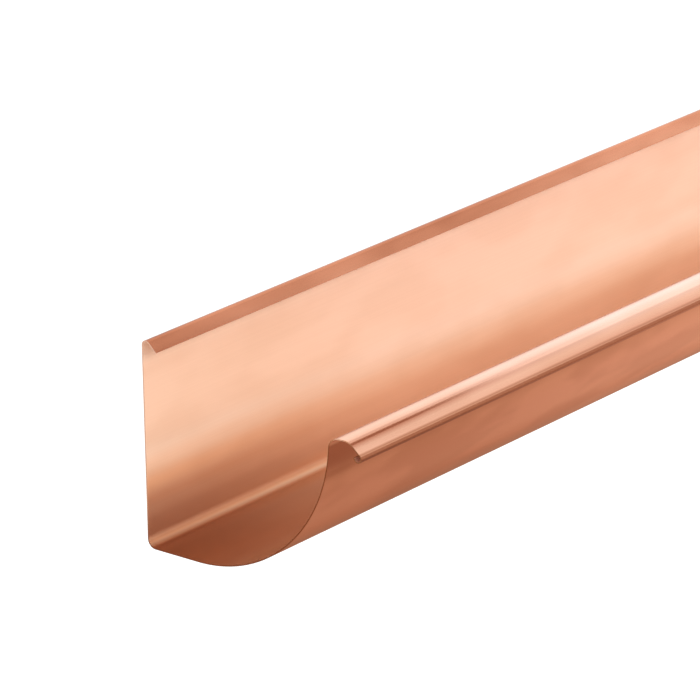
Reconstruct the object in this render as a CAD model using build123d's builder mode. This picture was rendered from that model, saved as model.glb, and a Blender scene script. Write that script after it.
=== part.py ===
"""Half round gutter with a flat back, folded from one strip of copper sheet.

Millimetres. +X runs along the gutter, +Y points at the wall that it hangs on and +Z is up.
The origin is the middle of the flat back face. All radii are outside radii of the bends.
"""
from build123d import *
import os

# Length of the gutter, and thickness of the sheet
length = 1000.0
sheet = 0.7

# Back wall, from the underside of the floor to the top of the folded lip
back_height = 118.5

# Lip: the wall's top edge folds forwards over the channel and ends in a straight leaf
lip_fold_radius = 3.0
lip_leaf = 6.8
lip_slope = 45.0

# Foot: the bend from the wall to the level floor, and how far the floor reaches from the back
foot_radius = 5.2
floor_reach = 35.0

# Round front, which stops just short of upright
front_radius = 92.0
front_sweep = 86.0

# Bead: the crown turns outwards until level, the shoulder turns down into a straight apron
crown_radius = 7.0
crown_level = 3.5
shoulder_radius = 8.5
apron_slope = 40.0
apron_length = 6.6

# Curl at the apron's edge, rolled back under the bead
curl_radius = 2.6
curl_sweep = 235.0

# Height of the middle of the flat back face, between the foot's bend and the lip's fold
wall_top = back_height - lip_fold_radius
face_middle = (foot_radius + wall_top) / 2

# Plane of the cut end: its first axis is +Y and its second is the height above the underside
cut_end = Plane(origin=(-length / 2, 0, -face_middle), x_dir=(0, 1, 0), z_dir=(1, 0, 0))


with BuildPart() as gutter:
    with BuildSketch(cut_end):
        with BuildLine():
            # Weather face of the sheet, first from the wall down and round to the curl
            wall = Line((0, wall_top), (0, foot_radius))
            foot = JernArc(wall @ 1, wall % 1, foot_radius, -90)
            floor = Line(foot @ 1, (-floor_reach, 0))
            front = JernArc(floor @ 1, floor % 1, front_radius, -front_sweep)

            # On the bead the weather face is the hollow side, so its arcs are tighter by the sheet
            crown = JernArc(front @ 1, front % 1, crown_radius - sheet, front_sweep)
            level = PolarLine(crown @ 1, crown_level, direction=crown % 1)
            shoulder = JernArc(level @ 1, level % 1, shoulder_radius - sheet, apron_slope)
            apron = PolarLine(shoulder @ 1, apron_length, direction=shoulder % 1)
            JernArc(apron @ 1, apron % 1, curl_radius - sheet, curl_sweep)

            # Then from the wall's top over the fold and down the lip's leaf
            fold = JernArc(wall @ 0, (0, 1), lip_fold_radius, 90 + lip_slope)
            PolarLine(fold @ 1, lip_leaf, direction=fold % 1)

            # The other face lies one thickness away, on the channel's side
            offset(amount=sheet, side=Side.RIGHT)
        make_face()
    extrude(amount=length)

gutter.part.label = "gutter"

os.makedirs("parts", exist_ok=True)
export_step(gutter.part, "parts/gutter.step")
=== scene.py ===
# %% [markdown]
# # Half round gutter in bright copper
#
# One strip of copper sheet is folded lengthways into a flat back, a level floor, a round front
# and a rolled bead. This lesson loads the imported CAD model, folds the same strip from fine
# facets, gives it the finish of rolled copper and sets it in a studio.

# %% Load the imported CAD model
import bpy
import math
from mathutils import Matrix, Vector


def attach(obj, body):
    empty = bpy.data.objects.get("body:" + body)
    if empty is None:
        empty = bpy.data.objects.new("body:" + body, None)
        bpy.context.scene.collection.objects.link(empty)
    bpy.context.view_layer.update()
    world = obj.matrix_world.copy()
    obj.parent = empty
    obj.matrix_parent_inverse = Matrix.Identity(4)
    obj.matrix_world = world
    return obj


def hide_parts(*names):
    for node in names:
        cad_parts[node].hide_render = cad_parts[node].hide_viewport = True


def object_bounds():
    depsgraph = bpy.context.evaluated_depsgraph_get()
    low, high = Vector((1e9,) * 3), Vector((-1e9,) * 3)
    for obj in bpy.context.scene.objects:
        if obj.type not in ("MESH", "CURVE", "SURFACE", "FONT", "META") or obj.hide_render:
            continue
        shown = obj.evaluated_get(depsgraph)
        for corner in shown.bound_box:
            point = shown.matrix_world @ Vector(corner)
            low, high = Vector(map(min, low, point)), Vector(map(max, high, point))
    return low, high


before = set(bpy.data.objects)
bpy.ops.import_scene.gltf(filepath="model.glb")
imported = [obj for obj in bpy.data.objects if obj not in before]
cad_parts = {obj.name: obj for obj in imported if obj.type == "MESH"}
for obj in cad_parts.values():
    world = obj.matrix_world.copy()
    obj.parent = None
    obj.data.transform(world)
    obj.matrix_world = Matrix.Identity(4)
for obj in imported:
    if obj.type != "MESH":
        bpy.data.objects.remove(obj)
cad_low, cad_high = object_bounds()
print("CAD nodes", sorted(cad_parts), "box", tuple(cad_low), tuple(cad_high))

# %% [markdown]
# ## The camera
#
# The picture is taken from well back with a long lens, looking down into the channel from its
# cut end. The lens and the camera's place were found from the point where the gutter's long
# lines would meet. A camera can be aimed by a Track To constraint, but then it always stands
# level. This picture leans by one degree, so the camera's right, up and look directions are
# worked out here and given to it as a matrix. The focal length is in pixels of the picture.

# %% Set up the camera
photo_width = 700
sensor_width = 36.0
focal_pixels = 5003.8
sight_limit = 50.0
camera_place = Vector((-2.36545, -1.65418, 0.94635))
camera_heading = math.radians(39.0345)
camera_dip = math.radians(19.7886)
camera_lean = math.radians(-1.0)

camera_data = bpy.data.cameras.new("studio_camera")
camera_data.sensor_width = sensor_width
camera_data.lens = focal_pixels * sensor_width / photo_width
camera_data.clip_end = sight_limit
camera = bpy.data.objects.new("studio_camera", camera_data)
bpy.context.scene.collection.objects.link(camera)
bpy.context.scene.camera = camera

look = Vector((math.cos(camera_dip) * math.cos(camera_heading),
               math.cos(camera_dip) * math.sin(camera_heading),
               -math.sin(camera_dip)))
level_right = look.cross(Vector((0, 0, 1))).normalized()
level_up = level_right.cross(look)
right = level_right * math.cos(camera_lean) + level_up * math.sin(camera_lean)
up = right.cross(look)
turn = Matrix((right, up, -look)).transposed().to_4x4()
camera.matrix_world = Matrix.Translation(camera_place) @ turn
print("camera", tuple(camera_place), "lens", round(camera_data.lens, 1), "mm")

# %% [markdown]
# ## The folded sheet
#
# On the real gutter a folding machine bends the strip one line at a time, and every bend has its
# own radius. The section could be a curve with a depth, or a box that is cut away, but then the
# sheet's thickness and the radii would be hard to keep. Here one point is drawn along each flat
# and spun round each bend. That gives the weather face of the sheet, which is the side that
# shows from outside, and the sizes stay the ones that a sheet-metal worker would set.

# %% Sizes of the section, where each radius is the outside one of its bend
MM = 0.001
sheet = 0.7 * MM
strip_width = 333 * MM
half_length = cad_high[0]
back_height = 118.5 * MM
lip_fold_radius = 3.0 * MM
lip_leaf = 6.8 * MM
lip_slope = math.radians(45)
foot_radius = 5.2 * MM
floor_reach = 35.0 * MM
front_radius = 92.0 * MM
front_sweep = math.radians(86)
crown_radius = 7.0 * MM
crown_level = 3.5 * MM
shoulder_radius = 8.5 * MM
apron_slope = math.radians(40)
apron_length = 6.6 * MM
curl_radius = 2.6 * MM
curl_sweep = math.radians(235)

quarter = math.radians(90)
wall_top = back_height - lip_fold_radius
underside = -(foot_radius + wall_top) / 2
print("underside", round(underside / MM, 2), "mm, half the length", round(half_length / MM, 1), "mm")


# %% Helpers that draw the section as a folder would
class Pen:
    """Where the drawn line has got to: a point in the section's plane and a heading."""
    y = 0.0
    z = 0.0
    heading = 0.0


pen = Pen()


def flat(length):
    """Extrudes the last point straight on."""
    step = (0, length * math.cos(pen.heading), length * math.sin(pen.heading))
    bpy.ops.mesh.extrude_region_move(TRANSFORM_OT_translate={"value": step})
    pen.y += step[1]
    pen.z += step[2]


def bend(radius, sweep, facets):
    """Spins the last point round a bend. A positive sweep is anticlockwise, seen from +X."""
    side = math.copysign(1, sweep)
    centre_y = pen.y - side * radius * math.sin(pen.heading)
    centre_z = pen.z + side * radius * math.cos(pen.heading)
    centre = (-half_length, centre_y, centre_z)
    bpy.ops.mesh.spin(steps=facets, angle=-sweep, center=centre, axis=(1, 0, 0))
    pen.heading += sweep
    pen.y = centre_y + side * radius * math.sin(pen.heading)
    pen.z = centre_z - side * radius * math.cos(pen.heading)


# %% Start with one point at the lip's edge
bpy.ops.object.select_all(action="DESELECT")
bpy.ops.mesh.primitive_plane_add(size=10 * MM, location=(-half_length, 0, 0))
gutter = bpy.context.object
gutter.name = "copper_gutter"
bpy.ops.object.transform_apply(location=True, rotation=True, scale=True)
bpy.ops.object.mode_set(mode="EDIT")
bpy.ops.mesh.select_mode(type="VERT")
bpy.ops.mesh.select_all(action="SELECT")
bpy.ops.mesh.merge(type="CENTER")

# Leaving edit mode and coming back makes this point number 0, and the drawn ones follow in order
bpy.ops.object.mode_set(mode="OBJECT")
bpy.ops.object.mode_set(mode="EDIT")

fold_sweep = quarter + lip_slope
leaf_heading = quarter + quarter + lip_slope
pen.y = -lip_fold_radius + lip_fold_radius * math.cos(fold_sweep) + lip_leaf * math.cos(leaf_heading)
pen.z = underside + wall_top + lip_fold_radius * math.sin(fold_sweep) + lip_leaf * math.sin(leaf_heading)
pen.heading = lip_slope
bpy.ops.transform.translate(value=(0, pen.y, pen.z))
print("lip's edge at", round(pen.y / MM, 2), round(pen.z / MM, 2), "mm")

# %% Draw the weather face from the lip's edge to the curl
lip_facets = 18
foot_facets = 16
front_facets = 64
crown_facets = 20
shoulder_facets = 10
curl_facets = 36

flat(lip_leaf)
bend(lip_fold_radius, -fold_sweep, lip_facets)
flat(wall_top - foot_radius)
bend(foot_radius, -quarter, foot_facets)
flat(floor_reach - foot_radius)
bend(front_radius, -front_sweep, front_facets)

# On the bead the weather face is the hollow side, so its bends are tighter by the sheet
bend(crown_radius - sheet, front_sweep, crown_facets)
flat(crown_level)
bend(shoulder_radius - sheet, apron_slope, shoulder_facets)
flat(apron_length)
bend(curl_radius - sheet, curl_sweep, curl_facets)
bpy.ops.object.mode_set(mode="OBJECT")
print("section points", len(gutter.data.vertices), "ends at", round(pen.y / MM, 3), round(pen.z / MM, 3))

# %% [markdown]
# ## A measure across the strip
#
# The strip was rolled flat before it was folded, so its lines and tones follow the strip and not
# the room. A UV map could say where each point lay on the flat strip. The gutter is the same all
# along, so one number for each point is enough: its girth, the distance from the lip's edge. It
# is written now, while the section is a single line, and later steps carry it along.

# %% Keep each point's girth
girth = gutter.data.attributes.new("girth", "FLOAT", "POINT")
walked = 0.0
last_place = gutter.data.vertices[0].co
for number, point in enumerate(gutter.data.vertices):
    walked += (point.co - last_place).length
    girth.data[number].value = walked
    last_place = point.co
print("strip width", round(walked / MM, 1), "mm")

# %% [markdown]
# ## Length and thickness
#
# The real gutter is the same from end to end, and its sheet is one thickness everywhere, round
# the tightest curl too. The line is drawn out along X. One long extrusion would do, but its faces
# would be very long and thin, so it is done in equal spans. The inner face could be drawn as a
# second line. Solidify does that by itself: with an even offset the bends keep their thickness,
# and it gives the two faces and the cut edge a finish each.

# %% Draw the section out to the full length
spans = 20
weld_distance = 0.01 * MM

bpy.ops.object.mode_set(mode="EDIT")
bpy.ops.mesh.select_all(action="SELECT")
bpy.ops.mesh.extrude_repeat(steps=spans, offset=(2 * half_length / spans, 0, 0))
bpy.ops.mesh.select_all(action="SELECT")
bpy.ops.mesh.remove_doubles(threshold=weld_distance)
bpy.ops.object.mode_set(mode="OBJECT")
print("faces of the bare sheet", len(gutter.data.polygons))

# %% Give the sheet its thickness
crease_angle = math.radians(40)

for name in ("copper_channel_face", "copper_weather_face", "copper_cut_edge"):
    gutter.data.materials.append(bpy.data.materials.new(name))
thickness = gutter.modifiers.new("sheet", "SOLIDIFY")
thickness.thickness = sheet
thickness.use_even_offset = True

# An offset of 1 puts all the thickness on the side that the faces look to, the channel's
thickness.offset = 1.0

# The face that stays on the drawn line takes the second finish, and the cut edge takes the third
thickness.material_offset = 1
thickness.material_offset_rim = 2
bpy.ops.object.modifier_apply(modifier=thickness.name)
bpy.ops.object.shade_smooth_by_angle(angle=crease_angle)
print("faces of the thick sheet", len(gutter.data.polygons))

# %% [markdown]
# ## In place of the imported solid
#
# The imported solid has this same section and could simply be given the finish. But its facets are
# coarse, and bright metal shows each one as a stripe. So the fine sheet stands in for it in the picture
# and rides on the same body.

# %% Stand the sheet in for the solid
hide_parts("gutter")
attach(gutter, "root")
print(gutter.name, "stands in for the node gutter")

# %% [markdown]
# ## Helpers for the finishes
#
# Every finish below is a small tree of nodes, and the same few nodes come back in each. A helper
# makes them, feeds them and hands back what comes out, so that a finish reads from top to bottom.
# A finish could also be painted as a picture, but nodes stay sharp at any distance.

# %% Helper that feeds a socket
def feed(tree, socket, value):
    """Gives a socket a plain number, a colour, or what comes out of another node."""
    if isinstance(value, (int, float)):
        socket.default_value = value
    elif isinstance(value, tuple):
        socket.default_value = (*value, 1)
    else:
        tree.links.new(value, socket)


# %% Helpers for ramps
WHITE = (1.0, 1.0, 1.0)


def greys(stops):
    """Turns plain numbers along a ramp into the grey colours that it holds."""
    return [(place, (level, level, level)) for place, level in stops]


def ramp(tree, value, stops):
    """A colour ramp over a value, from a list of places and colours."""
    node = tree.nodes.new("ShaderNodeValToRGB")
    elements = node.color_ramp.elements
    node.color_ramp.interpolation = "EASE"
    while len(elements) > 1:
        elements.remove(elements[-1])
    elements[0].position = stops[0][0]
    elements[0].color = (*stops[0][1], 1)
    for place, colour in stops[1:]:
        elements.new(place).color = (*colour, 1)
    feed(tree, node.inputs["Fac"], value)
    return node.outputs["Color"]


# %% Helpers that reckon and mix
def reckon(tree, kind, *values):
    """One step of arithmetic."""
    node = tree.nodes.new("ShaderNodeMath")
    node.operation = kind
    for socket, value in zip(node.inputs, values):
        feed(tree, socket, value)
    return node.outputs["Value"]


def mix(tree, factor, one, two, kind="MIX"):
    """Goes from one colour to the other as the factor goes from 0 to 1."""
    node = tree.nodes.new("ShaderNodeMix")
    node.data_type = "RGBA"
    node.blend_type = kind
    feed(tree, node.inputs["Factor"], factor)
    feed(tree, node.inputs["A"], one)
    feed(tree, node.inputs["B"], two)
    return node.outputs["Result"]


def multiply(tree, one, two):
    """Tints one colour by the other."""
    return mix(tree, 1.0, one, two, kind="MULTIPLY")


# %% Helper for noise
def noise(tree, place, stretch, detail):
    """Cloudy noise, drawn out along an axis where its stretch is small."""
    spread = tree.nodes.new("ShaderNodeMapping")
    spread.inputs["Scale"].default_value = stretch
    tree.links.new(place, spread.inputs["Vector"])
    cloud = tree.nodes.new("ShaderNodeTexNoise")
    cloud.inputs["Scale"].default_value = 1.0
    cloud.inputs["Detail"].default_value = detail
    tree.links.new(spread.outputs["Vector"], cloud.inputs["Vector"])
    return cloud.outputs["Fac"]


# %% Helpers for places on the object
def axes_of(tree):
    """X, Y and Z of the object's own coordinates."""
    place = tree.nodes.new("ShaderNodeTexCoord")
    split = tree.nodes.new("ShaderNodeSeparateXYZ")
    tree.links.new(place.outputs["Object"], split.inputs["Vector"])
    return split.outputs


def girth_of(tree):
    """The distance from the lip's edge, in metres."""
    strip = tree.nodes.new("ShaderNodeAttribute")
    strip.attribute_name = "girth"
    return strip.outputs["Fac"]


# %% [markdown]
# ## The finish of rolled copper
#
# New copper sheet is bright and satin. It has three things to show: fine lines that the rolls drew along
# the strip, soft patches where hands have been, and above all what it mirrors. A bare metal shader with
# a few cards round it gives broad, even reflections. A studio picture has finer ones, a dark seam in
# each bend and a pale band on each crown, so here these are painted: a tone of painted reflection and
# painted shade is laid over the metal. It changes across the strip by girth, and it fades from one set
# of tones near the cut end to another further along. Where a band should look lit and not mirrored, the
# surface is made less metallic, so that the key lamp brightens it.
#
# Places across the strip are shares of its width. The lip ends at 0.04, the wall at 0.37, the
# foot's bend at 0.40, the floor at 0.49 and the round front at 0.90. On the bead the crown ends
# at 0.94, the shoulder at 0.957 and the apron at 0.977, and the curl is the rest. A fade is a
# list of places along X in metres, with the cut end at -0.5: 0 keeps the tones of the cut end,
# and 1 gives those further along.

# %% Helpers for the painted tone and the flat place
def fading_painted_light(tree, across, along, near, far, fade):
    """The painted reflections and shade near the cut end, which give way to those further along."""
    from_cut = reckon(tree, "ADD", along, half_length)
    fading = ramp(tree, from_cut, greys([(place + half_length, level) for place, level in fade]))
    return mix(tree, fading, ramp(tree, across, near), ramp(tree, across, far))


def flat_place(tree, along, from_lip):
    """Where a point lay on the flat strip."""
    joined = tree.nodes.new("ShaderNodeCombineXYZ")
    tree.links.new(along, joined.inputs["X"])
    tree.links.new(from_lip, joined.inputs["Y"])
    return joined.outputs["Vector"]


# %% Helper for the two faces of the sheet
line_stretch = (2.0, 900.0, 1.0)
line_detail = 3.0
line_tones = [(0.35, (0.985, 0.98, 0.975)), (0.65, WHITE)]
line_roughness = 0.04
patch_stretch = (14.0, 32.0, 1.0)
patch_detail = 2.0
patch_from = 0.38
patch_to = 0.6


def copper_face(name, base, patch, near, far, fade, metal, rough):
    """Rolled copper, with its painted reflections and shade, metal and roughness set across the strip.
    """
    made = bpy.data.materials[name]
    made.use_nodes = True
    tree = made.node_tree
    shader = tree.nodes["Principled BSDF"]
    from_lip = girth_of(tree)
    across = reckon(tree, "DIVIDE", from_lip, strip_width)
    along = axes_of(tree)["X"]
    place = flat_place(tree, along, from_lip)

    # Rolling lines run along the strip, and handling leaves soft patches
    lines = noise(tree, place, line_stretch, line_detail)
    patches = noise(tree, place, patch_stretch, patch_detail)
    # The base colour is tinted by painted reflections and painted shade across the strip
    colour = multiply(tree, base, fading_painted_light(tree, across, along, near, far, fade))
    colour = multiply(tree, colour, ramp(tree, lines, line_tones))
    colour = multiply(tree, colour, ramp(tree, patches, [(patch_from, patch), (patch_to, WHITE)]))
    satin = reckon(tree, "MULTIPLY_ADD", lines, line_roughness, ramp(tree, across, greys(rough)))

    tree.links.new(colour, shader.inputs["Base Color"])
    tree.links.new(ramp(tree, across, greys(metal)), shader.inputs["Metallic"])
    tree.links.new(satin, shader.inputs["Roughness"])
    print(name, "has", len(near), "and", len(far), "tones across the strip")


# %% [markdown]
# ## The channel's side
#
# This is the side that the picture looks into. Its tones are painted reflections and painted shade: near
# the cut end the floor and the foot of the wall are painted with the brown of something they would
# mirror from outside the picture, and further along they are pale. One ramp runs round the whole
# section. As one long list nobody could read it, so each part of the gutter has its own short list, and
# the lists are joined. The tones could be left to a modelled room, but the room isn't known, so each was
# chosen by comparing renders with the picture.

# %% Painted reflections and shade of the channel near the cut end
# Each tone tints the copper: dark ones are painted shade and painted brown reflection, as on the floor,
# the foot and in the bead's seams, and pale ones are painted highlights, as on the crown and the curl
wall_near = [(0.0, (1.0, 0.99, 0.94)), (0.22, (1.0, 0.98, 0.92)), (0.25, (1.0, 0.87, 0.74)),
             (0.28, (1.0, 0.73, 0.52)), (0.305, (1.0, 0.8, 0.63)), (0.325, (0.98, 0.84, 0.7)),
             (0.345, (0.89, 0.73, 0.6)), (0.366, (0.88, 0.74, 0.62))]
foot_near = [(0.374, (0.92, 0.68, 0.5)), (0.38, (0.68, 0.46, 0.32)), (0.3885, (0.5, 0.3, 0.2)),
             (0.397, (0.34, 0.16, 0.08))]
floor_near = [(0.43, (0.29, 0.13, 0.055)), (0.47, (0.3, 0.14, 0.065))]
front_near = [(0.52, (0.34, 0.18, 0.105)), (0.6, (0.48, 0.36, 0.27)), (0.66, WHITE), (0.9, WHITE)]
crown_near = [(0.92, (0.56, 0.33, 0.23)), (0.935, (0.9, 0.69, 0.6))]
shoulder_near = [(0.945, (0.86, 0.66, 0.58)), (0.9505, (0.58, 0.37, 0.3)), (0.9545, (0.86, 0.58, 0.46))]
apron_near = [(0.958, (0.66, 0.37, 0.28)), (0.963, (0.92, 0.7, 0.6)), (0.973, (0.94, 0.7, 0.6))]
curl_near = [(0.977, (0.55, 0.3, 0.2)), (0.9805, (0.95, 0.76, 0.64)), (0.9845, (0.33, 0.11, 0.045))]
bead_painted_light_near = crown_near + shoulder_near + apron_near + curl_near
channel_painted_light_near = wall_near + foot_near + floor_near + front_near + bead_painted_light_near
print("channel near the cut end:", len(channel_painted_light_near), "tones,", len(bead_painted_light_near), "on the bead")

# %% Painted reflections and shade of the channel further along
# Further along the floor is left plain, the lower wall keeps a little painted shade, and the bead keeps
# its painted highlights and dark bands
wall_far = [(0.0, WHITE), (0.22, WHITE), (0.25, (0.99, 0.96, 0.92)), (0.28, (0.98, 0.88, 0.78)),
            (0.32, (0.91, 0.82, 0.74)), (0.35, (0.87, 0.81, 0.75))]
foot_far = [(0.373, (1.0, 0.84, 0.7)), (0.383, (1.0, 0.83, 0.67)), (0.4, (0.97, 0.83, 0.7))]
floor_far = [(0.43, WHITE)]
front_far = [(0.9, WHITE)]
crown_far = [(0.92, (0.64, 0.38, 0.28)), (0.935, (0.95, 0.9, 0.93))]
shoulder_far = [(0.95, (0.97, 0.85, 0.85))]
apron_far = [(0.965, (0.95, 0.72, 0.62)), (0.973, (0.88, 0.6, 0.5))]
curl_far = [(0.977, (0.58, 0.33, 0.24)), (0.981, (1.0, 0.8, 0.7)), (0.985, (0.47, 0.2, 0.11))]
bead_painted_light_far = crown_far + shoulder_far + apron_far + curl_far
channel_painted_light_far = wall_far + foot_far + floor_far + front_far + bead_painted_light_far
print("channel further along:", len(channel_painted_light_far), "tones,", len(bead_painted_light_far), "on the bead")

# %% Finish of the channel's side
channel_base = (0.96, 0.70, 0.56)
channel_patch = (0.96, 0.94, 0.92)
channel_fade = [(-0.5, 0.0), (-0.2, 1.0)]
channel_rough = [(0.0, 0.28), (0.9, 0.28), (0.93, 0.16)]

# The wall and the upper front take the lamp's light too. The floor and the bead are nearly all metal
wall_metal = [(0.0, 0.1), (0.055, 0.1), (0.09, 0.45), (0.2, 0.45), (0.24, 0.2), (0.275, 0.36),
              (0.31, 0.78), (0.369, 0.9)]
foot_metal = [(0.3735, 0.3), (0.378, 0.4), (0.384, 0.95)]
front_metal = [(0.62, 1.0), (0.68, 0.5), (0.88, 0.5), (0.91, 0.95)]
channel_metal = wall_metal + foot_metal + front_metal

copper_face("copper_channel_face", channel_base, channel_patch, channel_painted_light_near, channel_painted_light_far,
            channel_fade, channel_metal, channel_rough)

# %% [markdown]
# ## The weather side
#
# The picture shows this side on the lip, on the round front and under the bead. The back isn't in the
# picture, so it stays even. It could take the channel's tones, but they are painted reflections from
# inside the channel. Only the lip, a line high on the front and the hollow under the bead get tones:
# painted reflection on the lip, the bead's painted shadow and reflection on the front, and painted shade
# in the hollow. Along the lip the painted reflection comes and goes, so its fade goes up and down.

# %% Finish of the weather side
# The weather side's base is painted deeper and redder than the channel's, though the sheet is one
# copper: this stands in for the darker warm reflections on the outside
weather_copper_and_painted_shade = (0.93, 0.50, 0.35)
weather_patch = (0.88, 0.84, 0.81)
weather_rough = [(0.0, 0.2)]
weather_metal = [(0.0, 1.0), (0.965, 1.0), (0.975, 0.1)]
weather_fade = [(-0.5, 0.0), (-0.42, 0.5), (-0.36, 0.42), (-0.26, 0.04), (-0.2, 0.07),
                (-0.1, 0.68), (0.0, 0.9)]

# The leaf is painted darker as a reflection, and the fold's crest darkest, as painted shade that keeps
# it from showing a highlight
lip_painted_reflection_near = [(0.0, (0.65, 0.47, 0.37)), (0.018, (0.64, 0.45, 0.35)), (0.0225, (0.56, 0.38, 0.28)),
            (0.028, (0.52, 0.33, 0.23)), (0.032, (0.4, 0.2, 0.12))]
lip_painted_reflection_far = [(0.0, (0.92, 0.78, 0.68)), (0.019, (0.9, 0.72, 0.62)), (0.024, (0.72, 0.55, 0.43)),
           (0.028, (0.72, 0.53, 0.4)), (0.032, (0.66, 0.44, 0.3))]
# The dip near 0.85 is the bead's painted shadow and reflection on the round front
outer_near = [(0.05, WHITE), (0.84, WHITE), (0.852, (0.88, 0.82, 0.78)), (0.862, WHITE)]
outer_far = [(0.05, WHITE), (0.83, WHITE), (0.85, (0.84, 0.74, 0.73)), (0.87, (0.9, 0.84, 0.8))]
# The hollow under the bead is painted darker, as shade
painted_shade_under_bead = [(0.965, WHITE), (0.975, (0.75, 0.72, 0.7))]

copper_face("copper_weather_face", weather_copper_and_painted_shade, weather_patch, lip_painted_reflection_near + outer_near + painted_shade_under_bead,
            lip_painted_reflection_far + outer_far + painted_shade_under_bead, weather_fade, weather_metal, weather_rough)

# %% [markdown]
# ## The cut edge
#
# Shears leave a dull edge of bare copper, 0.7 mm thick. Along the wall it is a thin pale line of copper.
# Round the front it is painted dark as shade, the dark line that draws the section, and on the bead a
# painted highlight lies between painted shade. It could have the faces' finish, but a sheared edge is
# too rough to mirror anything, so its shader is mostly matt colour.

# %% Finish of the cut edge
wall_edge = [(0.0, (0.82, 0.5, 0.36)), (0.3, (0.7, 0.38, 0.24))]
front_edge_painted_shade = [(0.38, (0.24, 0.06, 0.015)), (0.9, (0.24, 0.06, 0.015))]
bead_edge_painted_light = [(0.917, (0.5, 0.2, 0.09)), (0.928, (0.85, 0.5, 0.34)), (0.945, (0.6, 0.26, 0.13)),
             (0.96, (0.3, 0.1, 0.035)), (0.98, (0.3, 0.1, 0.035))]
edge_metal = 0.2
edge_rough = 0.5
edge_gloss = 0.2


def copper_edge(name):
    """Sheared copper, with its tone, painted shade and a painted highlight set across the strip."""
    made = bpy.data.materials[name]
    made.use_nodes = True
    tree = made.node_tree
    shader = tree.nodes["Principled BSDF"]
    across = reckon(tree, "DIVIDE", girth_of(tree), strip_width)
    edge_tone_and_painted_light = ramp(tree, across, wall_edge + front_edge_painted_shade + bead_edge_painted_light)
    tree.links.new(edge_tone_and_painted_light, shader.inputs["Base Color"])
    shader.inputs["Metallic"].default_value = edge_metal
    shader.inputs["Roughness"].default_value = edge_rough
    shader.inputs["Specular IOR Level"].default_value = edge_gloss


copper_edge("copper_cut_edge")
used = sorted({face.material_index for face in gutter.data.polygons})
print("finishes", [finish.name for finish in gutter.data.materials], "used", used)

# %% [markdown]
# ## White world and white floor
#
# A product picture stands on white, with nothing else to see. More light on the floor would make
# it white too, but it would also wash out the copper. So the floor is pale grey paper that adds
# a little glow of its own only to what the camera or a mirror sees, and it lies far enough below
# the gutter to show no shadow in the picture.

# %% World
studio = bpy.data.worlds.new("white_studio")
bpy.context.scene.world = studio
studio.use_nodes = True
sky = studio.node_tree.nodes["Background"]
sky.inputs["Color"].default_value = (*WHITE, 1)
sky.inputs["Strength"].default_value = 1.0
bpy.context.scene.view_settings.view_transform = "Standard"
print("world", studio.name)

# %% Floor
floor_size = 30
floor_level = -0.6
paper_grey = (0.8, 0.8, 0.8)
paper_glow = 0.3

bpy.ops.mesh.primitive_plane_add(size=floor_size, location=(0, 0, floor_level))
floor = bpy.context.object
floor.name = "studio_floor"

paper = bpy.data.materials.new("white_paper")
paper.use_nodes = True
tree = paper.node_tree
shader = tree.nodes["Principled BSDF"]
shader.inputs["Base Color"].default_value = (*paper_grey, 1)
shader.inputs["Specular IOR Level"].default_value = 0.0
shader.inputs["Emission Color"].default_value = (*WHITE, 1)
ray = tree.nodes.new("ShaderNodeLightPath")
seen = reckon(tree, "ADD", ray.outputs["Is Camera Ray"], ray.outputs["Is Glossy Ray"])
seen = reckon(tree, "ADD", seen, ray.outputs["Is Transmission Ray"])
glow = reckon(tree, "MULTIPLY", seen, paper_glow)
tree.links.new(glow, shader.inputs["Emission Strength"])
floor.data.materials.append(paper)
print("floor at a height of", floor_level, "m")

# %% [markdown]
# ## Cards for the copper to mirror
#
# A photographer shapes metal with what it mirrors: pale cards where it should shine, and brown or
# dark ones where it should be deep. Lamps alone would give it a few hard spots. Each card here is
# one glowing face out of the picture whose tone runs along one axis. It shows only in reflections,
# so it brightens nothing matt and casts no shadow.

# %% Helpers for the cards
def share(tree, value, low, high):
    """How far a value has come from low to high."""
    node = tree.nodes.new("ShaderNodeMapRange")
    node.inputs["From Min"].default_value = low
    node.inputs["From Max"].default_value = high
    tree.links.new(value, node.inputs["Value"])
    return node.outputs["Result"]


def card_tone(name, axis, stops, fade):
    """A glow whose colour runs along an axis, by places in metres, and may fade in along X."""
    made = bpy.data.materials.new(name)
    made.use_nodes = True
    tree = made.node_tree
    tree.nodes.remove(tree.nodes["Principled BSDF"])
    axes = axes_of(tree)
    low = stops[0][0]
    high = stops[-1][0]
    shares = [((place - low) / (high - low), colour) for place, colour in stops]
    colour = ramp(tree, share(tree, axes[axis], low, high), shares)
    if fade:
        start, end, first_tone = fade
        fading = ramp(tree, share(tree, axes["X"], start, end), [(0.0, first_tone), (1.0, WHITE)])
        colour = multiply(tree, colour, fading)
    light = tree.nodes.new("ShaderNodeEmission")
    tree.links.new(colour, light.inputs["Color"])
    tree.links.new(light.outputs["Emission"], tree.nodes["Material Output"].inputs["Surface"])
    return made


def card(name, corners, axis, stops, fade=None):
    """A card that shows only in reflections."""
    mesh = bpy.data.meshes.new(name)
    mesh.from_pydata([Vector(corner) for corner in corners], [], [(0, 1, 2, 3)])
    mesh.materials.append(card_tone(name, axis, stops, fade))
    made = bpy.data.objects.new(name, mesh)
    bpy.context.scene.collection.objects.link(made)
    made.visible_camera = False
    made.visible_diffuse = False
    made.visible_shadow = False
    print(name, "runs along", axis, "with", len(stops), "tones")


# %% Card under the gutter, brown with a paler band below its front
left_end = -3
right_end = 4
near_side = -1.2
far_side = 1.5
card_level = -0.4
dim_until = -0.1
full_from = 0.5
dim_tone = (0.65, 0.57, 0.52)

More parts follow.
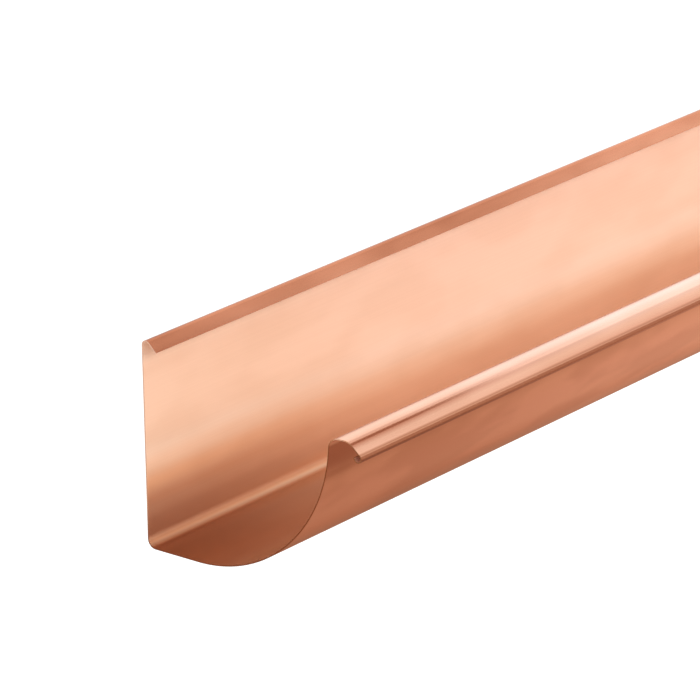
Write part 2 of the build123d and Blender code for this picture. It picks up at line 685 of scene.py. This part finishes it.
card("low_card",
     [(left_end, near_side, card_level), (right_end, near_side, card_level),
      (right_end, far_side, card_level), (left_end, far_side, card_level)], "Y",
     [(near_side, (0.42, 0.22, 0.15)), (-0.6, (0.46, 0.26, 0.18)), (-0.45, (0.42, 0.22, 0.15)),
      (-0.35, (0.76, 0.55, 0.41)), (-0.17, (0.83, 0.57, 0.44)), (-0.06, (0.83, 0.55, 0.4)),
      (0.05, (0.68, 0.37, 0.24)), (0.25, (0.47, 0.27, 0.18)), (far_side, (0.47, 0.27, 0.18))],
     fade=(dim_until, full_from, dim_tone))

# %% Card in front, brown and a little paler towards its top
front_end = 3.3
front_top = 0.8

card("front_card",
     [(left_end, near_side, card_level), (front_end, near_side, card_level),
      (front_end, near_side, front_top), (left_end, near_side, front_top)], "Z",
     [(card_level, (0.4, 0.22, 0.15)), (0.1, (0.42, 0.24, 0.17)), (front_top, (0.6, 0.37, 0.28))])

# %% Flag over the bead, which darkens it near the cut end
flag_start = -1.5
flag_end = -0.12
flag_front = -0.21
flag_back = -0.128
flag_height = 0.25
flag_brown = (0.38, 0.17, 0.09)

card("overhead_flag",
     [(flag_start, flag_front, flag_height), (flag_end, flag_front, flag_height),
      (flag_end, flag_back, flag_height), (flag_start, flag_back, flag_height)], "X",
     [(flag_start, flag_brown), (-0.2, flag_brown), (flag_end, WHITE)])

# %% Soft box beyond the far end
subject = (-0.2, -0.07, 0.0)


def toward(azimuth, elevation, reach):
    """The point that lies a given way and distance from the part that the picture shows."""
    turned = math.radians(azimuth)
    raised = math.radians(elevation)
    return (subject[0] + reach * math.cos(raised) * math.cos(turned),
            subject[1] + reach * math.cos(raised) * math.sin(turned),
            subject[2] + reach * math.sin(raised))


box_reach = 2.5
box_right = -10
box_left = 45
box_low = 12
box_high = 55
box_white = (1.3, 1.3, 1.3)

card("softbox",
     [toward(box_right, box_low, box_reach), toward(box_left, box_low, box_reach),
      toward(box_left, box_high, box_reach), toward(box_right, box_high, box_reach)], "X",
     [(0.0, box_white), (3.0, box_white)])

# %% [markdown]
# ## The key lamp
#
# The cards only show in the mirror. One broad square lamp from the front brightens what is less
# metallic, such as the wall and the upper front. A point lamp would leave a spot and a hard
# shadow. The copper doesn't mirror the lamp itself, because the cards already do that work.

# %% Key lamp
lamp_size = 1.4
lamp_power = 38.0
lamp_azimuth = -65
lamp_elevation = 28
lamp_reach = 2.5

lamp_data = bpy.data.lights.new("key_lamp", "AREA")
lamp_data.shape = "SQUARE"
lamp_data.size = lamp_size
lamp_data.energy = lamp_power
lamp = bpy.data.objects.new("key_lamp", lamp_data)
lamp.location = toward(lamp_azimuth, lamp_elevation, lamp_reach)
lamp.rotation_euler = (Vector(subject) - lamp.location).to_track_quat("-Z", "Y").to_euler()
lamp.visible_glossy = False
bpy.context.scene.collection.objects.link(lamp)
print("key lamp", lamp_power, "W at", tuple(round(place, 2) for place in lamp.location))
